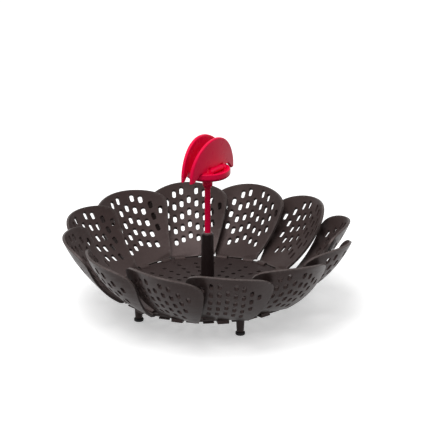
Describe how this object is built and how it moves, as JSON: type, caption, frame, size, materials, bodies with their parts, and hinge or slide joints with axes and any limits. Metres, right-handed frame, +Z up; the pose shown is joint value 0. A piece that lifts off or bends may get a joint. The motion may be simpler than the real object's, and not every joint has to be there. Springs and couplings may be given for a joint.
{
  "type": "folding steamer basket",
  "caption": "Folding steamer basket: slotted petals hinged round a perforated footed plate, with a telescopic lifting post and a pinch handle of folding leaves.",
  "frame": {"origin": "under the middle of the plate, on the surface that the feet stand on", "axes": "+Z up along the post; +X to the right and +Y away in the front view of the picture"},
  "size_m": [0.2754, 0.2754, 0.1748],
  "materials": {
    "nylon_black": "moulded nylon, satin",
    "tube_black": "smooth black plastic",
    "red_plastic": "smooth red plastic",
    "steel": "drawn wire and stamped sheet",
    "silicone": "soft silicone, matte"
  },
  "bodies": {
    "base": {"base_plate": "nylon_black", "centre_tube": "tube_black", "tube_cap": "tube_black", "tube_washer": "steel", "tube_nut": "tube_black", "foot_leg_1": "nylon_black", "foot_pad_1": "silicone", "foot_leg_2": "nylon_black", "foot_pad_2": "silicone", "foot_leg_3": "nylon_black", "foot_pad_3": "silicone", "foot_leg_4": "nylon_black", "foot_pad_4": "silicone"},
    "petal_01": {"petal_01": "nylon_black"},
    "petal_02": {"petal_02": "nylon_black"},
    "petal_03": {"petal_03": "nylon_black"},
    "petal_04": {"petal_04": "nylon_black"},
    "petal_05": {"petal_05": "nylon_black"},
    "petal_06": {"petal_06": "nylon_black"},
    "petal_07": {"petal_07": "nylon_black"},
    "petal_08": {"petal_08": "nylon_black"},
    "petal_09": {"petal_09": "nylon_black"},
    "petal_10": {"petal_10": "nylon_black"},
    "petal_11": {"petal_11": "nylon_black"},
    "petal_12": {"petal_12": "nylon_black"},
    "lift": {"lift_rod": "red_plastic", "rod_piston": "tube_black", "friction_ring": "silicone", "handle_hub": "red_plastic", "rear_leaf_pin": "steel", "front_leaf_pin": "steel"},
    "rear_leaf": {"rear_leaf": "red_plastic"},
    "front_leaf": {"front_leaf": "red_plastic"}
  },
  "joints": [
    {"name": "petal_01_hinge", "type": "hinge", "parent": "base", "child": "petal_01", "pos_m": [-0.01431, 0.08034, 0.0215], "axis": [0.9845, 0.1754, 0], "range_deg": [0, 47]},
    {"name": "petal_02_hinge", "type": "hinge", "parent": "base", "child": "petal_02", "pos_m": [0.02778, 0.07673, 0.0215], "axis": [0.9403, -0.3404, 0], "range_deg": [0, 47]},
    {"name": "petal_03_hinge", "type": "hinge", "parent": "base", "child": "petal_03", "pos_m": [0.06242, 0.05256, 0.0215], "axis": [0.6441, -0.7649, 0], "range_deg": [0, 47]},
    {"name": "petal_04_hinge", "type": "hinge", "parent": "base", "child": "petal_04", "pos_m": [0.08034, 0.01431, 0.0215], "axis": [0.1754, -0.9845, 0], "range_deg": [0, 47]},
    {"name": "petal_05_hinge", "type": "hinge", "parent": "base", "child": "petal_05", "pos_m": [0.07673, -0.02778, 0.0215], "axis": [-0.3404, -0.9403, 0], "range_deg": [0, 47]},
    {"name": "petal_06_hinge", "type": "hinge", "parent": "base", "child": "petal_06", "pos_m": [0.05256, -0.06242, 0.0215], "axis": [-0.7649, -0.6441, 0], "range_deg": [0, 47]},
    {"name": "petal_07_hinge", "type": "hinge", "parent": "base", "child": "petal_07", "pos_m": [0.01431, -0.08034, 0.0215], "axis": [-0.9845, -0.1754, 0], "range_deg": [0, 47]},
    {"name": "petal_08_hinge", "type": "hinge", "parent": "base", "child": "petal_08", "pos_m": [-0.02778, -0.07673, 0.0215], "axis": [-0.9403, 0.3404, 0], "range_deg": [0, 47]},
    {"name": "petal_09_hinge", "type": "hinge", "parent": "base", "child": "petal_09", "pos_m": [-0.06242, -0.05256, 0.0215], "axis": [-0.6441, 0.7649, 0], "range_deg": [0, 47]},
    {"name": "petal_10_hinge", "type": "hinge", "parent": "base", "child": "petal_10", "pos_m": [-0.08034, -0.01431, 0.0215], "axis": [-0.1754, 0.9845, 0], "range_deg": [0, 47]},
    {"name": "petal_11_hinge", "type": "hinge", "parent": "base", "child": "petal_11", "pos_m": [-0.07673, 0.02778, 0.0215], "axis": [0.3404, 0.9403, 0], "range_deg": [0, 47]},
    {"name": "petal_12_hinge", "type": "hinge", "parent": "base", "child": "petal_12", "pos_m": [-0.05256, 0.06242, 0.0215], "axis": [0.7649, 0.6441, 0], "range_deg": [0, 47]},
    {"name": "rod_slide", "type": "slide", "parent": "base", "child": "lift", "axis": [0, 0, 1], "range_m": [-0.043, 0]},
    {"name": "rear_leaf_hinge", "type": "hinge", "parent": "lift", "child": "rear_leaf", "pos_m": [-0.00902, 0.00665, 0.1446], "axis": [-0.5934, -0.8049, 0], "range_deg": [0, 88]},
    {"name": "front_leaf_hinge", "type": "hinge", "parent": "lift", "child": "front_leaf", "pos_m": [0.00902, -0.00665, 0.1446], "axis": [0.5934, 0.8049, 0], "range_deg": [0, 88]}
  ],
  "couplings": [
    {"joint": "petal_02_hinge", "follows": "petal_01_hinge", "ratio": 1},
    {"joint": "petal_03_hinge", "follows": "petal_01_hinge", "ratio": 1},
    {"joint": "petal_04_hinge", "follows": "petal_01_hinge", "ratio": 1},
    {"joint": "petal_05_hinge", "follows": "petal_01_hinge", "ratio": 1},
    {"joint": "petal_06_hinge", "follows": "petal_01_hinge", "ratio": 1},
    {"joint": "petal_07_hinge", "follows": "petal_01_hinge", "ratio": 1},
    {"joint": "petal_08_hinge", "follows": "petal_01_hinge", "ratio": 1},
    {"joint": "petal_09_hinge", "follows": "petal_01_hinge", "ratio": 1},
    {"joint": "petal_10_hinge", "follows": "petal_01_hinge", "ratio": 1},
    {"joint": "petal_11_hinge", "follows": "petal_01_hinge", "ratio": 1},
    {"joint": "petal_12_hinge", "follows": "petal_01_hinge", "ratio": 1}
  ]
}
